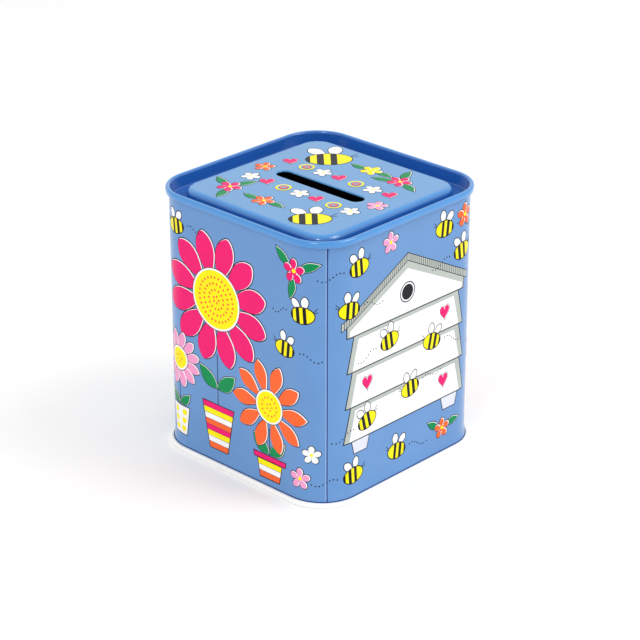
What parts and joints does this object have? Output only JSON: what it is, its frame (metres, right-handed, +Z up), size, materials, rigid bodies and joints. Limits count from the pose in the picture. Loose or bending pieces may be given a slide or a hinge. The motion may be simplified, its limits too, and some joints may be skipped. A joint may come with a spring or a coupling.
{
  "type": "tin money box",
  "caption": "Small square money box of printed tinplate with rounded corners, a seamed base and a lift-off lid that has a sunk channel and a coin slot.",
  "frame": {"origin": "centre of the underside, on the surface the box stands on", "axes": "+Z up through the coin slot, +X along the slot, and the side seam on the +X -Y corner"},
  "size_m": [0.078, 0.078, 0.09],
  "materials": {
    "printed_tin": "gloss",
    "white_lacquer": "gloss",
    "lid_tin": "gloss"
  },
  "bodies": {
    "box": {"body": "printed_tin", "base": "white_lacquer"},
    "cover": {"lid": "lid_tin"}
  },
  "joints": [
    {"name": "lid_lift", "type": "slide", "parent": "box", "child": "cover", "axis": [0, 0, 1], "range_m": [0, 0.06]}
  ]
}
